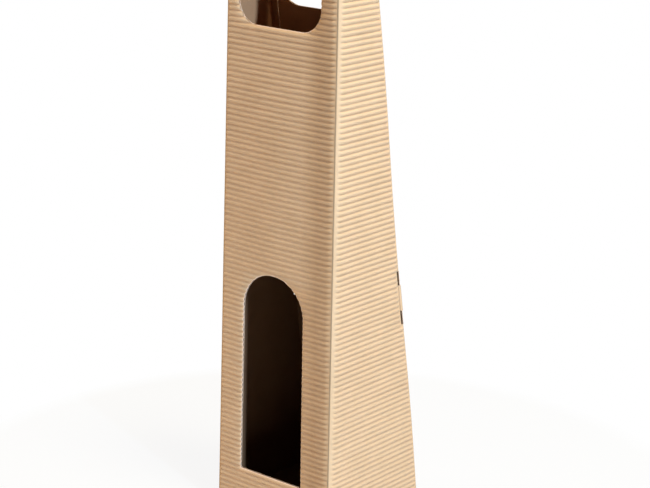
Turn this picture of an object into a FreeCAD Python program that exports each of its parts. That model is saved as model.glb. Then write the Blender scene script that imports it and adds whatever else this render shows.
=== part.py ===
import FreeCAD, Part
import math
import os

"""One-bottle carrier carton, folded from one sheet of single-face corrugated board.

The board is a smooth liner with open flutes on its outer face. The front and both side
panels are one wrap, which narrows a little towards the top. The front panel runs on under
the box as the base panel and up behind it as the back panel, which lies over the inner
flaps of the side panels. The side panels taper towards the top. A tab on each edge of the
back panel turns round the rear fold and plugs into a slot in the side panel. The top lid
hinges on the back panel's top edge and tucks behind the front panel.

+X is across the front, -Y is the front, +Z is up. Sizes are in millimetres. The origin
is the middle of the part's box on the rest face.
"""

# Carton
carton_height = 360.0
carton_width_base = 90.0
carton_width_top = 84.0
side_depth_base = 92.0
side_depth_top = 32.0

# Board: liner, and flutes that stand on its outer face
liner = 0.6
flute_height = 1.3
flute_pitch = 3.3
flute_start = 1.95
valley_web = 0.12
flute_rise = ((0.0, 0.0), (0.26, 1.0), (0.74, 1.0))
layer_gap = 0.2

# Bands beside the folds, where the flutes are crushed flat
band_front_left = 1.6
band_front_right = 4.4
band_side_front = 2.6
band_side_rear = 1.6
band_level_fold = 2.2

# Arched window in the front panel
window_width = 47.2
window_foot = 32.4
window_top = 161.2

# Carrying holes in the front and back panels, each set down from the carton's top
handle_width = 61.6
handle_height = 32.0
handle_corner = 14.0
front_handle_drop = 15.2
back_handle_drop = 9.5

# Locks at the rear folds: a slot in each side panel, and the back panel's tab in it
lock_middle = 142.6
slot_span = 35.9
slot_width = 1.8
tab_width = 16.6
tab_turn = 0.75
tab_root = 3.4
tab_tip = 1.6

# Inner flaps of the side panels, behind which the back panel lies
rear_flap_width = 18.0
rear_flap_foot = 9.0
rear_flap_drop = 58.0
rear_flap_neck = 8.5
back_inset = 3.6

# Dust flaps at the top and base ends of the side panels
top_dust_length = 24.0
base_dust_length = 38.0
dust_corner = 7.0
dust_front_setback = 4.4
dust_rear_setback = 2.6

# Lid
lid_side_clearance = 0.5
lid_front_clearance = 0.4
hinge_gap = 0.15
tongue_flap_length = 14.0
tongue_flap_angle = 20.0
tongue_flap_inset = 3.0
tongue_flap_corner = 6.0
tongue_flap_band = 4.6

# Levels and planes that follow from the sizes above
board = liner + flute_height
front_plane = 0.0
base_face = board
side_foot = base_face + layer_gap + flute_height
lid_face = carton_height - board
side_top = lid_face - layer_gap - flute_height
back_offset = flute_height + layer_gap
taper = (side_depth_base - side_depth_top) / carton_height
taper_angle = math.atan(taper)
lean = (carton_width_base - carton_width_top) / 2.0 / carton_height
lean_angle = math.atan(lean)


def vec(x, y, z):
    return FreeCAD.Vector(x, y, z)


def side_depth(level):
    """Depth of a side panel, front fold to rear fold, at a level above the rest face."""
    return side_depth_base - taper * level


def half_width(level):
    """Half of the front panel's width at a level above the rest face."""
    return carton_width_base / 2.0 - lean * level


def face_of(points):
    """Flat face bounded by straight lines through the points."""
    return Part.Face(Part.makePolygon(points + points[:1]))


def sheet(outline, low, high):
    """Flat sheet with the outline (u, v), between the heights low and high of n."""
    return face_of([vec(u, v, low) for u, v in outline]).extrude(vec(0, 0, high - low))


def round_hole(width, height, radius, middle_u, foot_v, low, high):
    """Cutter for a hole with rounded corners, u across and v up, its foot at foot_v."""
    block = Part.makeBox(width, height, high - low, vec(middle_u - width / 2.0, foot_v, low))
    upright = [e for e in block.Edges if abs(e.tangentAt(e.FirstParameter).z) > 0.9]
    return block.makeFillet(min(radius, width / 2.01, height / 2.01), upright)


def arch_hole(width, foot_v, top_v, low, high):
    """Cutter for the window: upright sides under a half-round head."""
    radius = width / 2.0
    spring = top_v - radius
    left, right = vec(-radius, spring, low), vec(radius, spring, low)
    head = Part.Arc(right, vec(0, top_v, low), left).toShape()
    foot = [vec(-radius, foot_v, low), vec(radius, foot_v, low)]
    sides = Part.makePolygon([left] + foot + [right])
    return Part.Face(Part.Wire(sides.Edges + [head])).extrude(vec(0, 0, high - low))


def flutes(outline, first_v):
    """Comb of flutes along u that fills the outline, with one valley at first_v."""
    low_u, high_u = min(u for u, v in outline), max(u for u, v in outline)
    low_v, high_v = min(v for u, v in outline), max(v for u, v in outline)
    points = []
    index = math.floor((low_v - first_v) / flute_pitch) - 1
    while first_v + index * flute_pitch < high_v + flute_pitch:
        for share, rise in flute_rise:
            v = first_v + (index + share) * flute_pitch
            n = liner + valley_web + (flute_height - valley_web) * rise
            points.append(vec(low_u, v, n))
        index += 1
    root = liner / 2.0
    points.append(vec(low_u, points[-1].y, root))
    points.append(vec(low_u, points[0].y, root))
    comb = face_of(points).extrude(vec(high_u - low_u, 0, 0))
    return comb.common(sheet(outline, 0.0, 2.0 * board))


def fluted_panel(outline, fluted, first_v):
    """Panel in its own plane: the liner's outline, and flutes inside the second outline."""
    return [sheet(outline, 0.0, liner), flutes(fluted, first_v)]


def rectangle(low_u, high_u, low_v, high_v):
    return [(low_u, low_v), (high_u, low_v), (high_u, high_v), (low_u, high_v)]


def stand(shapes, origin, u_axis, v_axis):
    """Moves shapes from a panel's own plane to its place, with n pointing outwards."""
    n_axis = u_axis.cross(v_axis)
    place = FreeCAD.Matrix(
        u_axis.x, v_axis.x, n_axis.x, origin.x,
        u_axis.y, v_axis.y, n_axis.y, origin.y,
        u_axis.z, v_axis.z, n_axis.z, origin.z,
        0, 0, 0, 1)
    moved = FreeCAD.Placement(place)
    return [shape.transformed(moved.toMatrix()) for shape in shapes]


AXIS_X, AXIS_Y, AXIS_Z = vec(1, 0, 0), vec(0, 1, 0), vec(0, 0, 1)


def way_up(origin, climb, level):
    """Distance along the climb from the origin to a level."""
    return (level - origin.z) / climb.z


def side_climb():
    """Unit direction up the right side panel."""
    return vec(-math.sin(lean_angle), 0, math.cos(lean_angle))


def side_plane_point(outward):
    """Point of the right side's plane at the rest face's level, moved along its normal."""
    return vec(half_width(0.0) + outward * math.cos(lean_angle), front_plane,
               outward * math.sin(lean_angle))


def rear_climb():
    """Unit direction up the rear plane."""
    return vec(0, -math.sin(taper_angle), math.cos(taper_angle))


def rear_plane_point(outward):
    """Point of the rear plane at the rest face's level, moved along its outward normal."""
    return vec(0, front_plane + side_depth_base + outward * math.cos(taper_angle),
               outward * math.sin(taper_angle))


def back_outer_at(level):
    """Y of the back panel's crushed outer face at a level."""
    origin = rear_plane_point(back_offset + liner)
    climb = rear_climb()
    return origin.y + climb.y * way_up(origin, climb, level)


def front_panel():
    """Front: u is +X and v is +Z, with the window and the front carrying hole cut out."""
    foot, top = flute_height, carton_height
    outline = [(-half_width(foot), foot), (half_width(foot), foot),
               (half_width(top), top), (-half_width(top), top)]
    low = foot + band_level_fold
    fluted = [(band_front_left - half_width(low), low), (half_width(low) - band_front_right, low),
              (half_width(top) - band_front_right, top), (band_front_left - half_width(top), top)]
    panel = fluted_panel(outline, fluted, flute_start)
    window = arch_hole(window_width, window_foot, window_top, -board, 2.0 * board)
    handle = round_hole(handle_width, handle_height, handle_corner, 0.0,
                        carton_height - front_handle_drop - handle_height, -board, 2.0 * board)
    cut = [shape.cut(Part.makeCompound([window, handle])) for shape in panel]
    return stand(cut, vec(0, front_plane + liner, 0), AXIS_X, AXIS_Z)


def side_panel():
    """Right side: u is +Y from the front fold and v climbs its lean, with the lock's slot."""
    origin, climb = side_plane_point(-liner), side_climb()

    def corner(level, set_in):
        return side_depth(level) - set_in, way_up(origin, climb, level)

    low, high = side_foot + band_level_fold, side_top - band_level_fold
    outline = [(0.0, way_up(origin, climb, side_foot)), corner(side_foot, 0.0),
               corner(side_top, 0.0), (0.0, way_up(origin, climb, side_top))]
    fluted = [(band_side_front, way_up(origin, climb, low)), corner(low, band_side_rear),
              corner(high, band_side_rear), (band_side_front, way_up(origin, climb, high))]
    panel = fluted_panel(outline, fluted, way_up(origin, climb, flute_start))
    foot, top = lock_middle - slot_span / 2.0, lock_middle + slot_span / 2.0
    slot = sheet([corner(foot, liner + slot_width), corner(foot, liner),
                  corner(top, liner), corner(top, liner + slot_width)], -board, 2.0 * board)
    return stand([shape.cut(slot) for shape in panel], origin, AXIS_Y, climb)


def rear_flap():
    """Inner flap of the right side panel, in the rear plane: u is -X and v climbs the taper."""
    origin, climb = rear_plane_point(-liner), rear_climb()
    low, high = rear_flap_foot, carton_height - rear_flap_drop

    def corner(level, set_in):
        return set_in - half_width(level), way_up(origin, climb, level)

    outline = [
        corner(side_foot, 0.0), corner(side_foot, liner),
        corner(low + dust_corner, rear_flap_width), corner(high - dust_corner, rear_flap_width),
        corner(high + dust_corner, rear_flap_neck), corner(side_top, rear_flap_neck),
        corner(side_top, 0.0)]
    end = side_top - band_level_fold
    fluted = [
        corner(low + dust_corner, band_side_rear), corner(low + dust_corner, rear_flap_width),
        corner(high - dust_corner, rear_flap_width), corner(high + dust_corner, rear_flap_neck),
        corner(end, rear_flap_neck), corner(end, band_side_rear)]
    panel = fluted_panel(outline, fluted, way_up(origin, climb, flute_start))
    return stand(panel, origin, vec(-1, 0, 0), climb)


def back_panel():
    """Back: u is -X and v climbs the taper, over the inner flaps, with its carrying hole."""
    origin, climb = rear_plane_point(back_offset), rear_climb()
    foot, top = flute_height, lid_face - hinge_gap

    def corner(level, side):
        return side * (half_width(level) - back_inset), way_up(origin, climb, level)

    outline = [corner(foot, -1), corner(foot, 1), corner(top, 1), corner(top, -1)]
    low, high = foot + band_level_fold, top - band_level_fold
    fluted = [corner(low, -1), corner(low, 1), corner(high, 1), corner(high, -1)]
    hole = round_hole(handle_width, handle_height, handle_corner, 0.0,
                      way_up(origin, climb, carton_height - back_handle_drop - handle_height),
                      -board, 2.0 * board)
    panel = fluted_panel(outline, fluted, way_up(origin, climb, flute_start))
    cut = [shape.cut(hole) for shape in panel]
    level = Part.makeBox(2.0 * carton_width_base, carton_width_base, 2.0 * board,
                         vec(-carton_width_base, front_plane + side_depth_top / 2.0, top))
    return [shape.cut(level) for shape in stand(cut, origin, vec(-1, 0, 0), climb)]


def strip(path, thickness):
    """Outline of a bent strip: the path (x, y) moved half a thickness to either side."""
    left, right = [], []
    for index, (x, y) in enumerate(path):
        before, after = path[max(index - 1, 0)], path[min(index + 1, len(path) - 1)]
        along = math.hypot(after[0] - before[0], after[1] - before[1])
        across_x = (before[1] - after[1]) / along * thickness / 2.0
        across_y = (after[0] - before[0]) / along * thickness / 2.0
        left.append((x + across_x, y + across_y))
        right.append((x - across_x, y - across_y))
    return left + right[::-1]


def lock_tab():
    """Tab of crushed board from the back panel's right edge, round the rear fold, into the slot."""
    foot, top = lock_middle - tab_width / 2.0, lock_middle + tab_width / 2.0
    path = [
        (-back_inset - tab_turn, back_offset + liner / 2.0),
        (-tab_root, back_offset + liner / 2.0),
        (-liner, liner + liner / 2.0),
        (tab_turn, -liner / 3.0),
        (tab_turn - liner / 4.0, -liner - slot_width / 2.0),
        (-tab_tip, -slot_width - liner / 4.0)]
    corner_x, corner_y = half_width(foot), front_plane + side_depth(foot)
    flat = [vec(corner_x + x, corner_y + y, foot) for x, y in strip(path, liner)]
    return face_of(flat).extrude(vec(
        half_width(top) - half_width(foot), side_depth(top) - side_depth(foot), top - foot))


def base_panel():
    """Base: u is -X and v is +Y, from the front fold to the back panel's fold. A crest
    runs under its middle."""
    rear = back_outer_at(flute_height)
    half = half_width(0.0)
    outline = [(-half, front_plane), (half, front_plane), (half, front_plane + side_depth_base),
               (half - back_inset, rear), (back_inset - half, rear),
               (-half, front_plane + side_depth_base)]
    fluted = rectangle(-half, half, front_plane + band_level_fold,
                       front_plane + side_depth_base - band_level_fold)
    middle = (front_plane + rear) / 2.0
    panel = fluted_panel(outline, fluted, middle - flute_pitch / 2.0)
    return stand(panel, vec(0, 0, base_face), vec(-1, 0, 0), AXIS_Y)


def dust_flap(length, fold_level, facing):
    """Dust flap on the right side panel: facing is +1 at the top end and -1 at the base."""
    front = front_plane + liner + dust_front_setback
    rear = front_plane + side_depth(fold_level) - liner - dust_rear_setback
    corner = min(dust_corner, length / 2.0, (rear - front) / 3.0)
    outline = [
        (0.0, front), (length - corner, front), (length, front + corner),
        (length, rear - corner), (length - corner, rear), (0.0, rear)]
    fluted = [
        (band_level_fold, front), (length - corner, front), (length, front + corner),
        (length, rear - corner), (length - corner, rear), (band_level_fold, rear)]
    turned = [(-facing * y, x) for x, y in outline]
    turned_fluted = [(-facing * y, x) for x, y in fluted]
    panel = fluted_panel(turned, turned_fluted, 0.0)
    inner_face = fold_level - facing * liner
    return stand(panel, vec(half_width(fold_level), 0, inner_face), vec(0, -facing, 0),
                 vec(-1, 0, 0))


def mirrored(shapes):
    """The same shapes on the left side."""
    return [shape.mirror(vec(0, 0, 0), AXIS_X) for shape in shapes]


def fuse(shapes):
    whole = shapes[0].multiFuse(shapes[1:]).removeSplitter()
    if len(whole.Solids) != 1:
        raise ValueError("a panel is loose: %d solids" % len(whole.Solids))
    return whole.Solids[0]


def carton_body():
    right = side_panel() + rear_flap() + [lock_tab()]
    right += dust_flap(top_dust_length, side_top, 1) + dust_flap(base_dust_length, side_foot, -1)
    return fuse(front_panel() + right + mirrored(right) + base_panel() + back_panel())


def hinge_line():
    """Y and Z of the lid's fold: the outer faces of the lid and the back panel meet here."""
    level = carton_height - flute_height
    return back_outer_at(level), level


def top_lid():
    """Lid between the back panel's top fold and the front panel, with its tuck tongue."""
    hinge_y, hinge_z = hinge_line()
    front = front_plane + liner + lid_front_clearance
    half = half_width(carton_height) - lid_side_clearance
    outline = rectangle(-half, half, front, hinge_y)
    fluted = rectangle(-half, half, front + band_level_fold, hinge_y - band_level_fold)
    lid = stand(fluted_panel(outline, fluted, front), vec(0, 0, lid_face), AXIS_X, AXIS_Y)
    angle = math.radians(tongue_flap_angle)
    across = half_width(carton_height) - liner - tongue_flap_inset
    corner = tongue_flap_corner
    flap = [
        (-across, -liner), (across, -liner), (across, tongue_flap_length - corner),
        (across - corner, tongue_flap_length), (corner - across, tongue_flap_length),
        (-across, tongue_flap_length - corner)]
    flap_fluted = [(u, max(v, tongue_flap_band)) for u, v in flap]
    drop = vec(0, math.sin(angle), -math.cos(angle))
    outward = vec(0, -math.cos(angle), -math.sin(angle))
    origin = vec(0, front, hinge_z) - outward * liner
    level = Part.makeBox(2.0 * carton_width_top, carton_width_top, board,
                         vec(-carton_width_top, -carton_width_top / 2.0, hinge_z))
    tongue = stand(fluted_panel(flap, flap_fluted, 0.0), origin, vec(-1, 0, 0), drop)
    return fuse(lid + [shape.cut(level) for shape in tongue])


def main():
    os.makedirs("parts", exist_ok=True)
    nodes = {"carton_body": carton_body(), "top_lid": top_lid()}
    box = nodes["carton_body"].BoundBox
    shift = vec(0, -(box.YMin + box.YMax) / 2.0, 0)
    hinge_y, hinge_z = hinge_line()
    for name, shape in nodes.items():
        shape.translate(shift)
        shape.exportStep("parts/%s.step" % name)
        size = shape.BoundBox
        print(name, "valid", shape.isValid(), "volume %.0f" % shape.Volume,
              "x %.2f %.2f" % (size.XMin, size.XMax), "y %.2f %.2f" % (size.YMin, size.YMax),
              "z %.2f %.2f" % (size.ZMin, size.ZMax))
    print("hinge line y %.3f z %.3f" % (hinge_y + shift.y, hinge_z), "front fold y %.3f" % shift.y)


main()
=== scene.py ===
import math

import bpy
import numpy as np
from mathutils import Matrix, Vector


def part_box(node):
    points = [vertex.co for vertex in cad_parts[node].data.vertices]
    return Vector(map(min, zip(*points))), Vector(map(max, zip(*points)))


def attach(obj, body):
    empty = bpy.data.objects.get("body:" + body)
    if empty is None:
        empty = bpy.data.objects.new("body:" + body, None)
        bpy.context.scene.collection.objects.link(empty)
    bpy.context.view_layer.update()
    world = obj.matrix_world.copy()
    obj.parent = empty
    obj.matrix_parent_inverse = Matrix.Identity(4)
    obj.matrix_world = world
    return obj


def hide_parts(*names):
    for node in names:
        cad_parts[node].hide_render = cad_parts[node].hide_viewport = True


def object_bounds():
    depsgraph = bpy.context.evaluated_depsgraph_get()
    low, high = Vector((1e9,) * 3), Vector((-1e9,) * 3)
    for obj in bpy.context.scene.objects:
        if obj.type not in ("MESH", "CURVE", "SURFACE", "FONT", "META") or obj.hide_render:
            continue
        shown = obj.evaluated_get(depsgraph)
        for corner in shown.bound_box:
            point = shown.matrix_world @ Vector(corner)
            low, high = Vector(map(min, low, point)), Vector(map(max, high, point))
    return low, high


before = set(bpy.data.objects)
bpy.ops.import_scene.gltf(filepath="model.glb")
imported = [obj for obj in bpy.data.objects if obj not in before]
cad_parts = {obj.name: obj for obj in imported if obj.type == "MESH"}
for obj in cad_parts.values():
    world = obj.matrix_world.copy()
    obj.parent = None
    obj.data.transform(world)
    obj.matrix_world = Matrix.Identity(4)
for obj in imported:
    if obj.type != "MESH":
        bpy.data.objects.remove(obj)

cad_low, cad_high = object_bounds()


# Front panel
# One side of a folded sheet of single-face corrugated kraft board: a smooth liner inside, and
# a wave of thinner paper glued to it and left open. It is creased to the side panels and the
# base, the arched window and the carrying hole are punched through it, and it bows out a little.

# Lengths are in millimetres. u runs across a panel, v up it, and n out of it, from the liner's
# inner face. Where the board is creased or pressed, the wave lies flat.
MILLIMETRE = 0.001
LINER = 0.3
WAVE_PAPER = 0.2
VALLEY = LINER + WAVE_PAPER
CREST = 1.9
PRESSED = 0.6
HUMP_POWER = 0.75
FLUTE_PITCH = 3.3
FLUTE_START = 1.95
LONG_WANDER = (0.05, 0.071, 2.3)
SHORT_WANDER = (0.03, 0.19, 4.1)
CREST_LOSS = (0.035, 0.11, 1.7)
ROWS_PER_FLUTE = 12
LINER_ROW_STEP = 9.0
FOLD_RADIUS = 0.3
BOARD_IN_FOLD = 0.6
SHARP_DEGREES = 55.0
LEVEL_DIGITS = 4
WELD_DIGITS = 7

HEIGHT = cad_high.z / MILLIMETRE
HALF_WIDTH_BASE = 45.0
HALF_WIDTH_TOP = 42.0
FRONT_FOLD = cad_low.y / MILLIMETRE + CREST - BOARD_IN_FOLD
FRONT_FOOT = 1.9
FRONT_BOW = 1.2
BAND_FRONT_LEFT = 1.6
BAND_FRONT_RIGHT = 2.3
BAND_LEVEL = 2.2
FOLD_RAMP = 3.2
OPENING_RAMP = 1.6
CREASE_DEPTH = 0.22
CREASE_SHIFT = 1.1
CREASE_HALF = 0.4

WINDOW_HALF = 23.6
WINDOW_FOOT = 31.0
WINDOW_TOP = 161.9
WINDOW_SPRING = WINDOW_TOP - WINDOW_HALF
HANDLE_HALF = 31.3
HANDLE_HEIGHT = 32.0
HANDLE_CORNER = 14.0
FRONT_HANDLE_FOOT = 312.0
FRONT_HOLE_SHIFT = -1.4
CORNER_DEGREES = 5.0
CUT_OPEN = 0.35
CUT_RAMP = 1.5
CUT_COLUMNS = (0.0, 0.5, 1.0, 1.6)
SOLID_COLUMNS = (0.0, 0.25, 0.5, 0.75, 1.0)
FRAYED_WIDTH = 0.45


def smooth(share):
    """Smoothstep: 0 up to share 0, 1 from share 1, with level ends."""
    share = np.clip(share, 0.0, 1.0)
    return share * share * (3.0 - 2.0 * share)


def opening(distance, band, ramp=OPENING_RAMP):
    """How far the wave is open at a distance from a crease: it rises from 0 to 1 over the
    ramp's width, and it is half open where the distance is the band."""
    return smooth((distance - band) / ramp + 0.5)


def half_width(z):
    """Half of the front's width: it narrows in proportion to the level."""
    return HALF_WIDTH_BASE + (HALF_WIDTH_TOP - HALF_WIDTH_BASE) * z / HEIGHT


def ripple(kind, u, flute):
    """A low sine along u. kind gives its size, its rate and its turn from flute to flute."""
    size, rate, turn = kind
    return size * np.sin(rate * u + turn * flute)


def flute_height(v, u, open_share, start=FLUTE_START):
    """Outer face of the wave: in each pitch a sine's hump to a power under 1, so that crests
    are broad and valleys sharp, a little uneven along u, and flat where open_share is 0. The
    first flute begins where v is start."""
    flute = np.floor((v - start) / FLUTE_PITCH)
    wander = ripple(LONG_WANDER, u, flute) + ripple(SHORT_WANDER, u, flute)
    share = ((v + wander - start) / FLUTE_PITCH) % 1.0
    hump = np.sin(math.pi * share) ** HUMP_POWER
    uneven = 1.0 - CREST_LOSS[0] - ripple(CREST_LOSS, u, flute)
    wave = VALLEY + (CREST - VALLEY) * hump * uneven
    return PRESSED + (wave - PRESSED) * open_share


def levels(low, high, step, stations=()):
    """Row levels from low to high at about the step, with the stations among them."""
    count = max(1, int(math.ceil((high - low) / step)))
    even = np.linspace(low, high, count + 1)
    inside = [s for s in stations if low < s < high]
    return np.unique(np.round(np.concatenate([even, np.array(inside, float)]), LEVEL_DIGITS))


def strip(left, right, rows, shares):
    """Grid of a strip: u goes from left to right of each row by the shares, v is the row."""
    u = left[:, None] + (right - left)[:, None] * np.asarray(shares)[None, :]
    return u, np.repeat(rows[:, None], len(shares), axis=1)


def face_grid(rows, columns, skip=None):
    """Quads of a grid, its rows up and its columns to the right, seen from outside."""
    index = np.arange(rows * columns).reshape(rows, columns)
    quads = np.stack([index[:-1, :-1], index[:-1, 1:], index[1:, 1:], index[1:, :-1]], axis=-1)
    return quads[~skip] if skip is not None else quads.reshape(-1, 4)


def board_piece(name, patches, thickness, body, materials, frayed=None):
    """One sheet of paper or pressed board: patches of points (rows, columns, 3) in millimetres
    are welded into a skin, and Solidify gives it its thickness inwards, with its rim as a cut
    edge. Faces where frayed(x, z) is true show the pale torn fibres beside a cut."""
    points, quads, start = [], [], 0
    for patch, skip in patches:
        points.append(patch.reshape(-1, 3))
        quads.append(face_grid(patch.shape[0], patch.shape[1], skip) + start)
        start += patch.shape[0] * patch.shape[1]
    points = np.concatenate(points) * MILLIMETRE
    quads = np.concatenate(quads)
    merged, back = np.unique(np.round(points, WELD_DIGITS), axis=0, return_inverse=True)
    quads = back.reshape(-1)[quads]
    whole = [list(dict.fromkeys(q)) for q in quads.tolist()]
    mesh = bpy.data.meshes.new(name)
    mesh.from_pydata(merged, [], [q for q in whole if len(q) > 2])
    mesh.validate()
    piece = bpy.data.objects.new(name, mesh)
    bpy.context.scene.collection.objects.link(piece)
    for material in materials:
        mesh.materials.append(material)
    wall = piece.modifiers.new("wall", "SOLIDIFY")
    wall.thickness = thickness * MILLIMETRE
    wall.offset = -1.0
    wall.material_offset = 1
    wall.material_offset_rim = 2
    bpy.context.view_layer.update()
    seen = piece.evaluated_get(bpy.context.evaluated_depsgraph_get())
    finished = bpy.data.meshes.new_from_object(seen)
    piece.modifiers.clear()
    piece.data = finished
    finished.name = name
    if frayed:
        centres = np.empty(3 * len(finished.polygons))
        finished.polygons.foreach_get("center", centres)
        slots = np.empty(len(finished.polygons), np.int32)
        finished.polygons.foreach_get("material_index", slots)
        x, z = centres[0::3] / MILLIMETRE, centres[2::3] / MILLIMETRE
        slots = np.where((slots == 0) & frayed(x, z), 2, slots)
        finished.polygons.foreach_set("material_index", slots)
    finished.shade_smooth()
    finished.set_sharp_from_angle(angle=math.radians(SHARP_DEGREES))
    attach(piece, body)
    return piece


def paper_pair(name, patches, body, frayed=None, liner_step=LINER_ROW_STEP):
    """A panel's two papers, its wave and its liner, from patches(step, outer), where outer is
    True for the wave. Returns the wave."""
    wave = board_piece(name + "_wave", patches(FLUTE_PITCH / ROWS_PER_FLUTE, True), WAVE_PAPER, body,
                       WAVE_FACES, frayed)
    board_piece(name + "_liner", patches(liner_step, False), LINER, body, LINER_FACES)
    return wave


class Value:
    """A shader socket with arithmetic: each expression adds the Math nodes that work it out."""

    def __init__(self, tree, socket):
        self.tree, self.socket = tree, socket

    def math(self, operation, *others):
        node = self.tree.nodes.new("ShaderNodeMath")
        node.operation = operation
        for slot, value in enumerate((self,) + others):
            if isinstance(value, Value):
                self.tree.links.new(value.socket, node.inputs[slot])
            else:
                node.inputs[slot].default_value = value
        return Value(self.tree, node.outputs[0])

    def __add__(self, other):
        return self.math("ADD", other)

    def __mul__(self, other):
        return self.math("MULTIPLY", other)

    def __sub__(self, other):
        return self.math("SUBTRACT", other)

    def __rsub__(self, other):
        return (self * -1.0).math("ADD", other)

    __radd__ = __add__
    __rmul__ = __mul__

    def clamp(self, low, high):
        return self.math("MAXIMUM", low).math("MINIMUM", high)


class Finish:
    """A procedural material. node() adds a node by its type, its settings and its sockets."""

    def __init__(self, name):
        self.material = bpy.data.materials.new(name)
        self.material.use_nodes = True
        self.tree = self.material.node_tree
        self.tree.nodes.clear()

    def node(self, kind, settings=None, out=0, **sockets):
        node = self.tree.nodes.new("ShaderNode" + kind)
        for key, value in (settings or {}).items():
            setattr(node, key, value)
        for key, value in sockets.items():
            socket = node.inputs[int(key[1:]) if key[1:].isdigit() else key.replace("_", " ")]
            if isinstance(value, Value):
                self.tree.links.new(value.socket, socket)
            else:
                socket.default_value = value
        return Value(self.tree, node.outputs[out]) if node.outputs else None

    def mix(self, share, first, second):
        """Colour mix of two colours by a share; sockets 6 and 7 are the colours."""
        return self.node("Mix", {"data_type": "RGBA"}, out=2, s0=share, s6=first, s7=second)


CLOUD_GAIN = 1.1
FIBRE_GAIN = 0.9
FLECK_LIMIT = 0.36
FLECK_GAIN = 4.0
FLECK_DARKER = 0.62
# Painted shade: a dark line along each side crease of the front.
CREASE_SHADE = (0.30, 0.21, 0.12, 1.0)
CREASE_SHADE_SHARE = 0.8
CREASE_SHADE_MIDDLE = 0.5
CREASE_SHADE_HALF = 0.75
# Painted shade: the front darkens beside its right crease, fading towards the middle.
RIGHT_EDGE_SHADE = (0.35, 0.15, 0.04, 1.0)
RIGHT_EDGE_SHADE_SHARE = 0.4
RIGHT_EDGE_SHADE_END = 24.0
RIGHT_EDGE_SHADE_FADE = 12.0
FRONT_REACH = 0.5
# Painted shade for the carton's inside: the level where the darkening starts and its fade, in
# millimetres.
PAINTED_SHADE_TOP = 300.0
PAINTED_SHADE_FADE = 130.0
BLACK = (0.0, 0.0, 0.0, 1.0)


def front_painted_shade(x, y, z):
    """Two shares of painted shade on the front panel. The first is painted crease shade: 1 half a
    millimetre in from a side crease, falling evenly to 0 on both sides of that line. The second
    is painted shade beside the right crease: 1 there, and less and less towards the
    middle. Both follow the panel's taper, and neither reaches behind the front's own board."""
    half = z * ((HALF_WIDTH_TOP - HALF_WIDTH_BASE) / HEIGHT) + HALF_WIDTH_BASE
    inset = half - x.math("ABSOLUTE")
    crease_shaded = 1.0 - (inset - CREASE_SHADE_MIDDLE).math("ABSOLUTE") * (1.0 / CREASE_SHADE_HALF)
    right_edge_shaded = (RIGHT_EDGE_SHADE_END - half + x) * (1.0 / RIGHT_EDGE_SHADE_FADE)
    ahead = ((FRONT_FOLD + BOARD_IN_FOLD - y) * (1.0 / FRONT_REACH)).clamp(0.0, 1.0)
    return crease_shaded.clamp(0.0, 1.0) * ahead, right_edge_shaded.clamp(0.0, 1.0) * ahead


def kraft(name, base, dark, light, painted_shade=0.0):
    """Kraft paper: a brown with soft cloudy mottling, fibres drawn out level and fine darker
    flecks. The fibres also make a very low bump. Below PAINTED_SHADE_TOP the colour is mixed
    towards black by up to the share painted_shade: painted shade for the carton's inside, darker towards
    the base."""
    finish = Finish(name)
    place = finish.node("TexCoord", out=3)
    cloud = finish.node("TexNoise", Vector=place, Scale=55.0, Detail=4.0, Roughness=0.6)
    along = finish.node("Mapping", Vector=place, Scale=(1.0, 1.0, 6.0))
    fibre = finish.node("TexNoise", Vector=along, Scale=700.0, Detail=3.0, Roughness=0.65)
    fleck = finish.node("TexNoise", Vector=along, Scale=1500.0, Detail=2.0, Roughness=0.5)
    tone = ((cloud - 0.5) * CLOUD_GAIN + (fibre - 0.5) * FIBRE_GAIN + 0.5).clamp(0.0, 1.0)
    colour = finish.mix(tone, dark, light)
    fleck_colour = (*[channel * FLECK_DARKER for channel in base], 1.0)
    colour = finish.mix((FLECK_LIMIT - fleck) * FLECK_GAIN, colour, fleck_colour)
    axes = [finish.node("SeparateXYZ", Vector=place, out=axis) for axis in range(3)]
    x, y, z = (axis * (1.0 / MILLIMETRE) for axis in axes)
    crease_shaded, right_edge_shaded = front_painted_shade(x, y, z)
    # Painted shade on the front beside its right crease.
    colour = finish.mix(right_edge_shaded * RIGHT_EDGE_SHADE_SHARE, colour, RIGHT_EDGE_SHADE)
    # Painted crease shade along the front's side creases.
    colour = finish.mix(crease_shaded * CREASE_SHADE_SHARE, colour, CREASE_SHADE)
    # Painted shade: below PAINTED_SHADE_TOP the colour is mixed towards black, darker towards the base.
    low = ((PAINTED_SHADE_TOP - z) * (1.0 / PAINTED_SHADE_FADE)).clamp(0.0, 1.0)
    colour = finish.mix(low * painted_shade, colour, BLACK)
    bump = finish.node("Bump", Strength=0.18, Distance=0.00012, Height=fibre)
    shader = finish.node("BsdfPrincipled", Base_Color=colour, Roughness=0.86, Normal=bump,
                         Specular_IOR_Level=0.25)
    finish.node("OutputMaterial", Surface=shader)
    return finish.material


OUTER = kraft("kraft_outer", (0.66, 0.44, 0.253), (0.62, 0.393, 0.214, 1.0), (0.72, 0.470, 0.267, 1.0))
# The inside's kraft is a darker, redder copy of the outer kraft: painted shade for the carton's dim
# inside.
SHADED_INNER = kraft("kraft_inner_shaded", (0.52, 0.25, 0.11), (0.47, 0.21, 0.09, 1.0), (0.57, 0.29, 0.13, 1.0),
              painted_shade=0.7)
CUT_EDGE = kraft("kraft_cut_edge", (0.86, 0.60, 0.42), (0.82, 0.56, 0.385, 1.0),
                 (0.90, 0.64, 0.455, 1.0))
WAVE_FACES = [OUTER, SHADED_INNER, CUT_EDGE]
LINER_FACES = [SHADED_INNER, SHADED_INNER, CUT_EDGE]


def front_bow(u, z):
    """Outward bow: a half sine up the height times a squared cosine across the width."""
    return FRONT_BOW * np.sin(math.pi * z / HEIGHT) * np.cos(0.5 * math.pi * u / half_width(z)) ** 2


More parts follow.
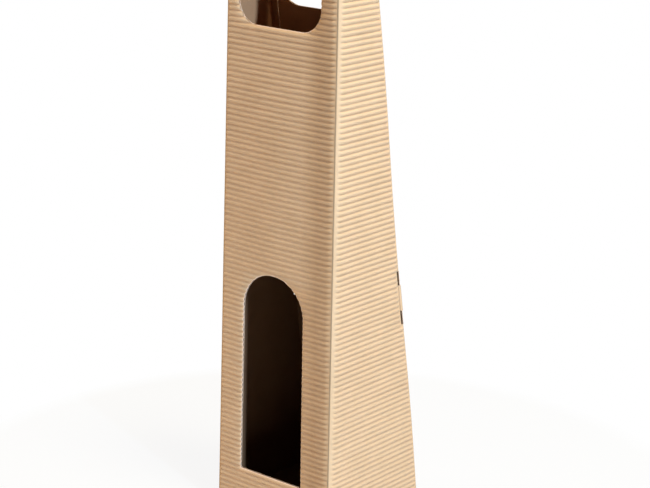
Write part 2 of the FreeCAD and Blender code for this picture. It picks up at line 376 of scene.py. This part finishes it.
def handle_half(z, foot, half):
    """Half width of a carrying hole at a level: straight ends with quarter-round corners. Above
    and below the hole it is held to the width of its straight edges."""
    z = np.clip(z, foot, foot + HANDLE_HEIGHT)
    edge = np.minimum(z - foot, foot + HANDLE_HEIGHT - z)
    rise = np.clip(HANDLE_CORNER - edge, 0.0, HANDLE_CORNER)
    return half - HANDLE_CORNER + np.sqrt(HANDLE_CORNER ** 2 - rise ** 2)


def window_half(z):
    """Half width of the window: a half circle at the head, and below it sides that run
    parallel to the panel's edges, so that they splay as the level falls."""
    rise = np.clip(z - WINDOW_SPRING, 0.0, WINDOW_HALF)
    arch = np.sqrt(np.clip(WINDOW_HALF ** 2 - rise ** 2, 0.0, None))
    return arch + np.maximum(WINDOW_SPRING - z, 0.0) * (HALF_WIDTH_BASE - HALF_WIDTH_TOP) / HEIGHT


def front_holes_half(z):
    """Half width of the front's cut-outs. Between them it is only where columns run."""
    handle = handle_half(z, FRONT_HANDLE_FOOT, HANDLE_HALF)
    climb = smooth((z - WINDOW_TOP) / (FRONT_HANDLE_FOOT - WINDOW_TOP))
    above = np.where(z < FRONT_HANDLE_FOOT, climb * handle, handle)
    return np.where(z <= WINDOW_TOP, window_half(z), above)


def round_stations(foot, top, radius):
    """Extra row levels where a round corner is nearly level, so that it stays round."""
    turn = np.radians(np.arange(0.0, 90.0, CORNER_DEGREES))
    rise = radius * (1.0 - np.cos(turn))
    return np.concatenate([foot + rise, top - rise])


def window_gap(u, z):
    """Distance to the window's edge: to its splayed sides and foot, or to its round head."""
    u = u - FRONT_HOLE_SHIFT
    beside, below = np.abs(u) - window_half(z), WINDOW_FOOT - z
    corner = np.hypot(np.maximum(beside, 0.0), np.maximum(below, 0.0))
    upright = corner + np.minimum(np.maximum(beside, below), 0.0)
    return np.where(z > WINDOW_SPRING, np.hypot(u, z - WINDOW_SPRING) - WINDOW_HALF, upright)


def handle_gap(u, z, foot, shift, half):
    """Distance to a carrying hole's edge: a box with rounded corners."""
    middle = foot + HANDLE_HEIGHT / 2.0
    beside = np.abs(u - shift) - (half - HANDLE_CORNER)
    above = np.abs(z - middle) - (HANDLE_HEIGHT / 2.0 - HANDLE_CORNER)
    corner = np.hypot(np.maximum(beside, 0.0), np.maximum(above, 0.0))
    return corner + np.minimum(np.maximum(beside, above), 0.0) - HANDLE_CORNER


def front_handle_gap(u, z):
    """Distance to the edge of the front's own carrying hole."""
    return handle_gap(u, z, FRONT_HANDLE_FOOT, FRONT_HOLE_SHIFT, HANDLE_HALF)


def cut_press(gap):
    """The cutting rule presses the flutes down beside it: how open they stay."""
    return CUT_OPEN + (1.0 - CUT_OPEN) * smooth(gap / CUT_RAMP)


def holed_panel(rows, left, right, cut_half, shift, solid, edge_left, edge_right, place):
    """Patches of a panel with holes: two outer strips, and a middle one where it is solid."""
    lower, upper = shift - cut_half, shift + cut_half
    near = np.array(edge_left)[None, :]
    cut = np.array(CUT_COLUMNS)[None, :]
    middle_left = (left + edge_left[-1] + lower - CUT_COLUMNS[-1])[:, None] / 2.0
    left_u = np.concatenate([left[:, None] + near, middle_left, lower[:, None] - cut[:, ::-1]], axis=1)
    far = np.array(edge_right)[None, ::-1]
    middle_right = (right - edge_right[-1] + upper + CUT_COLUMNS[-1])[:, None] / 2.0
    right_u = np.concatenate([upper[:, None] + cut, middle_right, right[:, None] - far], axis=1)
    patches = []
    for u in (left_u, right_u):
        patches.append((place(u, np.repeat(rows[:, None], u.shape[1], axis=1)), None))
    u, v = strip(lower, upper, rows, SOLID_COLUMNS)
    middle = place(u, v)
    start = 0
    for stop in np.flatnonzero(np.diff(solid.astype(int)) != 0).tolist() + [len(rows) - 1]:
        if solid[min(start + 1, stop)] and stop > start:
            patches.append((middle[start:stop + 1], None))
        start = stop if solid[start] else stop + 1
    return patches


def front_patches(step, outer):
    """Front panel's skin: outer is True for the wave and False for the liner."""
    handle_top = FRONT_HANDLE_FOOT + HANDLE_HEIGHT
    stations = np.concatenate([
        [WINDOW_FOOT, WINDOW_TOP, FRONT_HANDLE_FOOT, handle_top, WINDOW_SPRING],
        round_stations(WINDOW_FOOT, WINDOW_TOP, WINDOW_HALF),
        round_stations(FRONT_HANDLE_FOOT, handle_top, HANDLE_CORNER)])
    rows = levels(FRONT_FOOT, HEIGHT, step, stations)
    half = half_width(rows) - BOARD_IN_FOLD - FOLD_RADIUS
    in_window = (rows > WINDOW_FOOT) & (rows < WINDOW_TOP)
    in_handle = (rows > FRONT_HANDLE_FOOT) & (rows < handle_top)

    def place(u, v):
        inset = half_width(v) - np.abs(u)
        band = np.where(u < 0.0, BAND_FRONT_LEFT, BAND_FRONT_RIGHT)
        ramp = np.where(u < 0.0, OPENING_RAMP, FOLD_RAMP)
        open_share = opening(inset, band, ramp) * opening(v - FRONT_FOOT, BAND_LEVEL)
        open_share = open_share * cut_press(window_gap(u, v))
        open_share = open_share * cut_press(front_handle_gap(u, v))
        n = flute_height(v, u, open_share) if outer else np.full_like(u, LINER)
        if outer:
            crease = 1.0 - np.abs(half_width(v) - u - CREASE_SHIFT) / CREASE_HALF
            n = n - CREASE_DEPTH * smooth(crease)
        y = FRONT_FOLD + BOARD_IN_FOLD - n - front_bow(u, v)
        return np.stack([u, y, v], axis=-1)

    left_edge = [0.0, 0.4, 0.9, 1.5, 2.4]
    right_edge = [0.0, 0.1, 0.2, 0.3, 0.4, 0.6, 1.0, 1.5, 2.1, 3.0]
    return holed_panel(rows, -half, half, front_holes_half(rows), FRONT_HOLE_SHIFT,
                       ~(in_window | in_handle), left_edge, right_edge, place)


def beside_front_cut(x, z):
    """The window's rim, and the carrying hole's without its left end, which is cut clean."""
    handle = np.where(x > HANDLE_CORNER - HANDLE_HALF, front_handle_gap(x, z), CUT_RAMP)
    return np.minimum(window_gap(x, z), handle) < FRAYED_WIDTH


front_wave = paper_pair("front", front_patches, "carton", beside_front_cut)
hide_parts("carton_body")


# Side panels
# Two more sides of the sheet, creased to the front, that taper to the top. At the rear each is
# folded into an inner flap behind the back panel, and the lock's slot is punched beside the
# fold. Over the slot's span the fold is cut away, and the flap runs on to the corner.

SIDES = ((1, "right"), (-1, "left"))
DEPTH_BASE = 92.0
DEPTH_TOP = 32.0
SLOPE = (DEPTH_BASE - DEPTH_TOP) / HEIGHT
REAR_WAVE = 0.9
FOLD_COLUMNS = 6
ROW_TOLERANCE = 0.001
SIDE_FOOT = 3.4
SIDE_TOP = 356.6
BAND_SIDE_FRONT = 3.4
BAND_SIDE_REAR = 1.6
SLOT_MIDDLE = 142.6
SLOT_SPAN = 35.9
SLOT_WIDTH = 1.8
SLOT_PRESS = 2.4
FLAP_WIDTH = 18.0
FLAP_NECK = 5.5
FLAP_TIP = 2.0
FLAP_EDGE = 0.1
FLAP_FOOT = 16.0
FLAP_TURN = 284.0
FLAP_TURN_END = 298.0
FLAP_COLUMNS = (0.0, 0.1, 0.2, 0.9, 0.95, 1.0)


def depth(z):
    """A side panel's depth from fold to fold: it narrows in proportion to the level, with a
    low wave of three half sines, because the lock tabs pull the middle of the rear fold in."""
    wave = REAR_WAVE * np.sin(3.0 * math.pi * z / HEIGHT)
    return DEPTH_BASE + (DEPTH_TOP - DEPTH_BASE) * z / HEIGHT + wave


def up_slope(z):
    """Distance up the rear slope, equal to the level where the first flute starts."""
    return FLUTE_START + (z - FLUTE_START) * math.hypot(1.0, SLOPE)


def side_patches(step, outer, side):
    """A side panel's skin with both its folds and its inner flap; side is +1 on the right. The
    flap narrows to its foot and its head, by straight lines from level to level."""
    slot_foot, slot_top = SLOT_MIDDLE - SLOT_SPAN / 2.0, SLOT_MIDDLE + SLOT_SPAN / 2.0
    rows = levels(SIDE_FOOT, SIDE_TOP, step, (slot_foot, slot_top, FLAP_FOOT, FLAP_TURN, FLAP_TURN_END))
    inset = BOARD_IN_FOLD + FOLD_RADIUS

    def height(v, along, from_front, from_rear):
        level_fold = np.minimum(v - SIDE_FOOT, SIDE_TOP - v)
        beyond = np.maximum(np.abs(v - SLOT_MIDDLE) - SLOT_SPAN / 2.0, 0.0)
        beside = np.maximum(from_rear - SLOT_WIDTH - BOARD_IN_FOLD, 0.0)
        open_share = opening(from_front, BAND_SIDE_FRONT, FOLD_RAMP)
        open_share = open_share * opening(from_rear, BAND_SIDE_REAR)
        open_share = open_share * opening(level_fold, BAND_LEVEL)
        open_share = open_share * smooth(np.hypot(beyond, beside) / SLOT_PRESS)
        return flute_height(v, along, open_share) if outer else np.full_like(v, LINER)

    def fold(rear):
        turn = np.radians(np.linspace(0.0, 90.0, FOLD_COLUMNS) + (90.0 if rear else 0.0))
        angle, v = np.meshgrid(turn, rows)
        n = height(v, 0.0 * v, 0.0 * v, 0.0 * v)
        radius = FOLD_RADIUS + n
        centre_y = FRONT_FOLD + np.where(rear, depth(v) - inset, inset)
        x = half_width(v) - inset + radius * np.sin(angle)
        return np.stack([side * x, centre_y - radius * np.cos(angle), v], axis=-1)

    def in_rear_plane(b, v, n):
        y = FRONT_FOLD + depth(v) - BOARD_IN_FOLD + n
        return np.stack([side * (half_width(v) - b), y, v], axis=-1)

    front_columns = np.array([0.0, 1.0, 1.7, 2.4, 3.1, 4.1])
    rear_columns = np.array([4.2, 3.0, 2.2, SLOT_WIDTH + BOARD_IN_FOLD - inset, 0.0])
    left = np.full_like(rows, inset)
    right = depth(rows) - inset
    middle, _ = strip(left + front_columns[-1], right - rear_columns[0], rows, SOLID_COLUMNS[1:])
    u = np.concatenate([left[:, None] + front_columns, middle, right[:, None] - rear_columns[1:]], axis=1)
    v = np.repeat(rows[:, None], u.shape[1], axis=1)
    n = height(v, u, u, depth(v) - u)
    side_points = np.stack([side * (half_width(v) - BOARD_IN_FOLD + n), FRONT_FOLD + u, v], axis=-1)
    in_slot = (rows[:-1] >= slot_foot - ROW_TOLERANCE) & (rows[:-1] < slot_top - ROW_TOLERANCE)
    skip = np.zeros((len(rows) - 1, u.shape[1] - 1), bool)
    skip[in_slot, -1] = True
    fold_skip = np.repeat(in_slot[:, None], FOLD_COLUMNS - 1, axis=1)

    reach = np.interp(rows, [SIDE_FOOT, FLAP_FOOT, FLAP_TURN, FLAP_TURN_END, SIDE_TOP],
                      [FLAP_TIP, FLAP_WIDTH, FLAP_WIDTH, FLAP_NECK, FLAP_NECK])
    f, fv = strip(left, reach, rows, FLAP_COLUMNS)
    fn = height(up_slope(fv), f, f + FLAP_WIDTH, f)
    if outer:
        fn = PRESSED + (fn - PRESSED) * cut_press(reach[:, None] - f)

    behind = rows[(rows > slot_foot - ROW_TOLERANCE) & (rows < slot_top + ROW_TOLERANCE)]
    edge = np.full_like(behind, FLAP_EDGE)
    b, bv = strip(edge, np.full_like(behind, inset), behind, (0.0, 1.0))
    bn = height(up_slope(bv), 0.0 * b, 0.0 * b, 0.0 * b)
    patches = [(fold(False), None), (side_points, skip), (fold(True), fold_skip),
               (in_rear_plane(f, fv, fn), None), (in_rear_plane(b, bv, bn), None)]
    if side < 0:
        patches = [(p[:, ::-1], None if s is None else s[:, ::-1]) for p, s in patches]
    return patches


for side, word in SIDES:
    paper_pair(word + "_side", lambda step, outer: side_patches(step, outer, side), "carton")


# Back panel
# The sheet climbs from the base over the inner flaps and has the second carrying hole punched
# through it. A tab of the same board on each edge, pressed flat, turns round the rear fold and
# is plugged into the side's slot.

BACK_OFFSET = 1.5
BACK_INSET = 3.6
BACK_FOOT = 1.4
BACK_TOP = 357.9
BACK_HANDLE_FOOT = 318.5
BACK_HANDLE_HALF = 32.3
BACK_HOLE_SHIFT = 2.6
TAB_WIDTH = 16.6
TAB_PATH = np.array([[-BACK_INSET - 0.8, 2.1], [-3.4, 2.1], [-0.9, 1.0], [0.25, 0.1], [0.75, -0.6],
                     [0.75, -1.3], [0.2, -1.8], [-0.8, -2.1], [-1.6, -2.1]])
FINE_ROW_STEP = 1.0


def back_handle_gap(u, z):
    """Distance to the edge of the back's own carrying hole."""
    return handle_gap(u, z, BACK_HANDLE_FOOT, BACK_HOLE_SHIFT, BACK_HANDLE_HALF)


def back_patches(step, outer):
    """Back panel's skin, in the rear plane: columns run from +X to -X, seen from behind."""
    handle_top = BACK_HANDLE_FOOT + HANDLE_HEIGHT
    stations = np.concatenate([[BACK_HANDLE_FOOT, handle_top],
                               round_stations(BACK_HANDLE_FOOT, handle_top, HANDLE_CORNER)])
    rows = levels(BACK_FOOT, BACK_TOP, step, stations)
    half = half_width(rows) - BACK_INSET
    in_handle = (rows > BACK_HANDLE_FOOT) & (rows < handle_top)

    def place(u, v):
        level_fold = np.minimum(v - BACK_FOOT, BACK_TOP - v)
        open_share = opening(level_fold, BAND_LEVEL)
        open_share = open_share * cut_press(back_handle_gap(u, v))
        open_share = open_share * cut_press(half_width(v) - BACK_INSET - np.abs(u))
        n = flute_height(up_slope(v), u, open_share) if outer else np.full_like(u, LINER)
        return np.stack([-u, FRONT_FOLD + depth(v) + BACK_OFFSET + n, v], axis=-1)

    return holed_panel(rows, -half, half, handle_half(rows, BACK_HANDLE_FOOT, BACK_HANDLE_HALF),
                       BACK_HOLE_SHIFT, ~in_handle, CUT_COLUMNS, CUT_COLUMNS, place)


def tab_patches(side):
    """Lock tab: its path in plan runs from the back panel's edge, round the rear fold, into
    the slot, and is carried up the taper. x and y are measured from the rear fold's corner."""
    rows = levels(SLOT_MIDDLE - TAB_WIDTH / 2.0, SLOT_MIDDLE + TAB_WIDTH / 2.0, FINE_ROW_STEP)
    x = half_width(rows)[:, None] + TAB_PATH[None, :, 0]
    y = FRONT_FOLD + depth(rows)[:, None] + TAB_PATH[None, :, 1]
    v = np.repeat(rows[:, None], len(TAB_PATH), axis=1)
    points = np.stack([side * x, y, v], axis=-1)
    return [(points[:, ::-1] if side > 0 else points, None)]


def beside_back_cut(x, z):
    """The rim of the back's carrying hole; its u runs against x."""
    return back_handle_gap(-x, z) < FRAYED_WIDTH


paper_pair("back", back_patches, "carton", beside_back_cut)
for side, word in SIDES:
    board_piece(word + "_lock_tab", tab_patches(side), BOARD_IN_FOLD, "carton", WAVE_FACES)


# Base panel and dust flaps
# The sheet's base runs from the front's crease to the back's, flutes down. A dust flap of each
# side panel is folded in on it and lies loose, and another lies under the lid at the top.

BASE_INNER = 1.9
BASE_BAND = 2.2
BASE_FRONT = 0.3
BASE_CLEARANCE = 0.1
BASE_DEPTH = DEPTH_BASE + BACK_OFFSET + BOARD_IN_FOLD
BASE_START = -FRONT_FOLD - FLUTE_PITCH / 2.0
FLAT_COLUMNS = (0.0, 0.1, 0.3, 0.5, 0.7, 0.9, 1.0)
LOW_DUST = 38.0
TOP_DUST = 24.0
DUST_START = 0.4
DUST_FRONT = 5.0
DUST_REAR = 3.2
DUST_CORNER = 7.0
DUST_COLUMNS = (0.0, 0.03, 0.06, 0.94, 0.97, 1.0)


def flat_patches(step, outer, rows_low, rows_high, half_at, place_at, start, band_rows=BASE_BAND):
    """A level or sloping panel without holes: v runs from rows_low to rows_high, u across."""
    rows = levels(rows_low, rows_high, step)
    half = half_at(rows)
    u, v = strip(-half, half, rows, FLAT_COLUMNS)
    ends = np.minimum(v - rows_low, rows_high - v)
    open_share = opening(ends, band_rows)
    n = flute_height(v, u, open_share, start) if outer else np.full_like(u, LINER)
    return [(place_at(u, v, n), None)]


def base_place(u, v, n):
    """The base lies level: v runs to the rear, and n down."""
    return np.stack([-u, FRONT_FOLD + v, BASE_INNER - n], axis=-1)


def base_half(v):
    """Full width up to the rear folds, then drawn in to the back panel's edge."""
    corner = smooth((v - DEPTH_BASE) / BACK_OFFSET)
    return HALF_WIDTH_BASE - BASE_CLEARANCE - (BACK_INSET - BASE_CLEARANCE) * corner


def base_patches(step, outer):
    """Base panel's skin, with a crest under the middle of the carton."""
    return flat_patches(step, outer, BASE_FRONT, BASE_DEPTH, base_half, base_place, BASE_START)


def dust_patches(step, outer, side, level, length, facing):
    """Dust flap: rows run in from the side's fold, columns front to rear, with cut corners."""
    front, rear = DUST_FRONT, float(depth(level)) - DUST_REAR
    corner = min(DUST_CORNER, length / 2.0, (rear - front) / 3.0)
    rows = levels(DUST_START, length, step, (length - corner,))
    drawn_in = np.maximum(rows - (length - corner), 0.0)
    v, u = strip(front + drawn_in, rear - drawn_in, rows, DUST_COLUMNS)
    edge = np.minimum(np.minimum(v - front, rear - v), length - u)
    open_share = opening(u, BASE_BAND) * cut_press(edge)
    n = flute_height(u, v, open_share, 0.0) if outer else np.full_like(u, LINER)
    z = level + facing * (n - BOARD_IN_FOLD)
    points = np.stack([side * (half_width(level) - u), FRONT_FOLD + v, z], axis=-1)
    return [(points[:, ::-1] if side * facing < 0 else points, None)]


paper_pair("base", base_patches, "carton")
for side, word in SIDES:
    for level, length, facing, end in ((SIDE_FOOT, LOW_DUST, -1, "low"), (SIDE_TOP, TOP_DUST, 1, "top")):
        paper_pair("%s_%s_dust" % (word, end),
                   lambda step, outer: dust_patches(step, outer, side, level, length, facing), "carton")


# Top lid
# The sheet's end, creased to the back panel's top edge. It lies on the dust flaps, and its tuck
# tongue slips in behind the front panel. It opens backwards about that crease.

LID_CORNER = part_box("top_lid")[1] / MILLIMETRE
LID_HALF = LID_CORNER.x
LID_INNER = HEIGHT - CREST
LID_SETBACK = 1.0
LID_FRONT = FRONT_FOLD + LID_SETBACK
LID_DEPTH = LID_CORNER.y - LID_FRONT
TONGUE_LENGTH = 14.0
TONGUE_ANGLE = 20.0
TONGUE_INSET = 3.6
TONGUE_CORNER = 6.0
TONGUE_BAND = 2.4


def lid_place(u, v, n):
    """The lid lies level: v runs to the rear, and n up."""
    return np.stack([u, LID_FRONT + v, LID_INNER + n], axis=-1)


def lid_half(v):
    """The lid has the same width all along."""
    return np.full_like(v, LID_HALF)


def lid_patches(step, outer):
    """Lid's skin, with a valley at its front edge."""
    return flat_patches(step, outer, 0.0, LID_DEPTH, lid_half, lid_place, 0.0)


def tongue_half(v):
    """Straight edges, then quarter-round corners at the tongue's end."""
    rise = np.clip(v - (TONGUE_LENGTH - TONGUE_CORNER), 0.0, TONGUE_CORNER)
    return LID_HALF - TONGUE_INSET - TONGUE_CORNER + np.sqrt(TONGUE_CORNER ** 2 - rise ** 2)


def tongue_place(u, v, n):
    """The tongue hangs from the lid's front edge, leaning in by its angle."""
    lean = math.radians(TONGUE_ANGLE)
    y = LID_FRONT + BOARD_IN_FOLD + v * math.sin(lean) - n * math.cos(lean)
    z = LID_INNER + BOARD_IN_FOLD - v * math.cos(lean) - n * math.sin(lean)
    return np.stack([-u, y, z], axis=-1)


def tongue_patches(step, outer):
    """Tongue's skin, from the lid's front edge to its round end."""
    return flat_patches(step, outer, 0.0, TONGUE_LENGTH, tongue_half, tongue_place, 0.0, TONGUE_BAND)


lid_wave = paper_pair("lid", lid_patches, "lid")
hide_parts("top_lid")
paper_pair("lid_tongue", tongue_patches, "lid", liner_step=FINE_ROW_STEP)


# Studio
# A pale floor, a small hard key lamp far to the right, an overhead softbox for the flutes, a
# warm fill lamp at the left, and a faint even sky. Only the camera sees the white background.

LAMP_AIM = (0.0, 0.0, 0.18)
KEY_COLOUR = (0.83, 1.22, 1.80)
TOP_COLOUR = (1.08, 0.98, 0.72)
FILL_COLOUR = (1.18, 0.82, 0.48)
WHITE = (1.0, 1.0, 1.0, 1.0)
SKY_STRENGTH = 0.07
FLOOR_HALF = 6.0
FLOOR_GREY = (0.80, 0.80, 0.80, 1.0)
FADE_START = 0.06
FADE_RATE = 5.0
FADE_LEAST = 0.9


def lamp(name, azimuth, elevation, distance, size, watts, colour):
    """Square area lamp on a sphere round the aim, facing it."""
    a, e = math.radians(azimuth), math.radians(elevation)
    away = np.array([math.sin(a) * math.cos(e), -math.cos(a) * math.cos(e), math.sin(e)])
    light = bpy.data.lights.new(name, "AREA")
    light.shape = "SQUARE"
    light.size = size
    light.energy = watts
    light.color = colour
    holder = bpy.data.objects.new(name, light)
    bpy.context.scene.collection.objects.link(holder)
    holder.location = np.array(LAMP_AIM) + away * distance
    holder.rotation_euler = Vector(away).to_track_quat("Z", "Y").to_euler()


lamp("key_lamp", azimuth=69.0, elevation=11.0, distance=2.4, size=0.09, watts=38.5, colour=KEY_COLOUR)
lamp("top_lamp", azimuth=75.0, elevation=70.0, distance=1.5, size=0.4, watts=21.0, colour=TOP_COLOUR)
lamp("fill_lamp", azimuth=-66.0, elevation=14.0, distance=1.6, size=0.32, watts=8.4, colour=FILL_COLOUR)

sky = bpy.data.worlds.new("studio_sky")
bpy.context.scene.world = sky
sky.use_nodes = True
sky_nodes, sky_links = sky.node_tree.nodes, sky.node_tree.links
sky_nodes.clear()
soft = sky_nodes.new("ShaderNodeBackground")
soft.inputs["Color"].default_value = WHITE
soft.inputs["Strength"].default_value = SKY_STRENGTH
white = sky_nodes.new("ShaderNodeBackground")
white.inputs["Color"].default_value = WHITE
rays = sky_nodes.new("ShaderNodeLightPath")
pick = sky_nodes.new("ShaderNodeMixShader")
out = sky_nodes.new("ShaderNodeOutputWorld")
sky_links.new(rays.outputs["Is Camera Ray"], pick.inputs[0])
sky_links.new(soft.outputs[0], pick.inputs[1])
sky_links.new(white.outputs[0], pick.inputs[2])
sky_links.new(pick.outputs[0], out.inputs["Surface"])

floor_mesh = bpy.data.meshes.new("floor")
floor_mesh.from_pydata([(-FLOOR_HALF, -FLOOR_HALF, 0), (FLOOR_HALF, -FLOOR_HALF, 0),
                        (FLOOR_HALF, FLOOR_HALF, 0), (-FLOOR_HALF, FLOOR_HALF, 0)], [], [(0, 1, 2, 3)])
floor = bpy.data.objects.new("floor", floor_mesh)
bpy.context.scene.collection.objects.link(floor)
finish = Finish("floor_paper")
place = finish.node("TexCoord", out=3)
distance = finish.node("VectorMath", {"operation": "LENGTH"}, out=1, s0=place)
paper = finish.node("BsdfPrincipled", Base_Color=FLOOR_GREY, Roughness=0.9)
plain = finish.node("Emission", Color=WHITE, Strength=1.0)
camera_ray = finish.node("LightPath", out=0)
fade = ((distance - FADE_START) * FADE_RATE).clamp(FADE_LEAST, 1.0)
finish.node("OutputMaterial", Surface=finish.node("MixShader", s0=camera_ray * fade, s1=paper, s2=plain))
floor_mesh.materials.append(finish.material)


# Camera
# It stands to the right of the front, a little above the carton, as the photograph was taken:
# azimuth 0 looks at the front, and the roll turns the picture clockwise.

CAMERA_AZIMUTH = 39.0
CAMERA_ELEVATION = 16.185
CAMERA_ROLL = 1.557
CAMERA_DISTANCE = 1.1722
CAMERA_AIM = (-0.00032, -0.000643, 0.17257)
CAMERA_LENS = 105.1

azimuth, elevation = math.radians(CAMERA_AZIMUTH), math.radians(CAMERA_ELEVATION)
back = Vector((math.sin(azimuth) * math.cos(elevation), -math.cos(azimuth) * math.cos(elevation),
               math.sin(elevation)))
level = Vector((0.0, 0.0, 1.0)).cross(back).normalized()
upright = back.cross(level)
roll = math.radians(CAMERA_ROLL)
right = level * math.cos(roll) + upright * math.sin(roll)
up = upright * math.cos(roll) - level * math.sin(roll)
camera = bpy.data.objects.new("camera", bpy.data.cameras.new("camera"))
bpy.context.scene.collection.objects.link(camera)
camera.data.lens = CAMERA_LENS
turned = Matrix((right, up, back)).transposed().to_4x4()
camera.matrix_world = Matrix.Translation(Vector(CAMERA_AIM) + back * CAMERA_DISTANCE) @ turned
bpy.context.scene.camera = camera
bpy.context.scene.view_settings.view_transform = "Standard"
